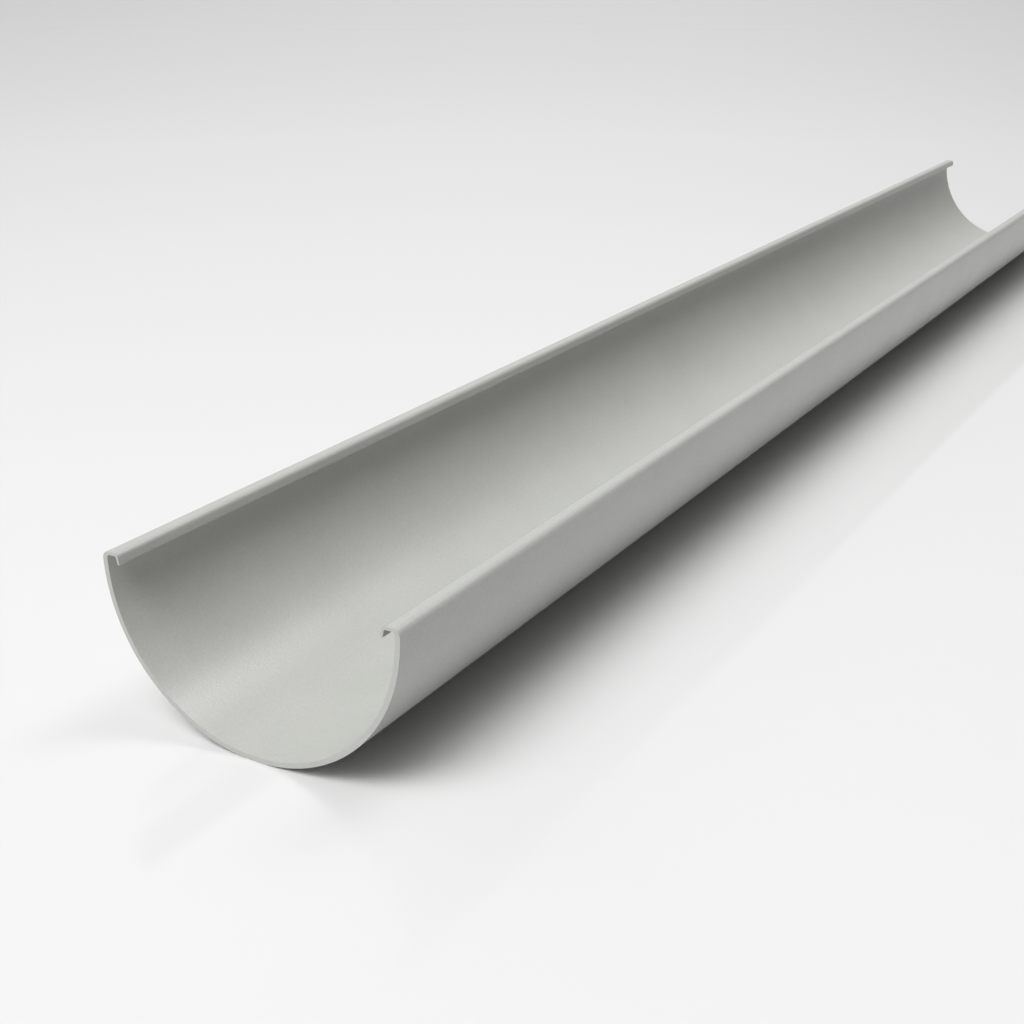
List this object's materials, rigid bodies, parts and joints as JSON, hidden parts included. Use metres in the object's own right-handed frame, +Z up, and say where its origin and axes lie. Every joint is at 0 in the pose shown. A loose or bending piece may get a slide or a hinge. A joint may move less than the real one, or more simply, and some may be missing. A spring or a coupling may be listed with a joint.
{
  "type": "half-round gutter section",
  "caption": "Half-round rain gutter section in grey rigid plastic: one straight extruded trough, open at the top and at both sawn ends, with a hooked rim along each long edge.",
  "frame": {"origin": "on the floor under the middle of the gutter's length, where its round bottom touches", "axes": "+X along the gutter, +Y across it, +Z up out of the open top"},
  "size_m": [1, 0.12, 0.0627],
  "materials": {
    "rigid_plastic": "extruded rigid plastic, light grey, satin-matte"
  },
  "bodies": {
    "root": {"gutter_section": "rigid_plastic"}
  },
  "joints": []
}
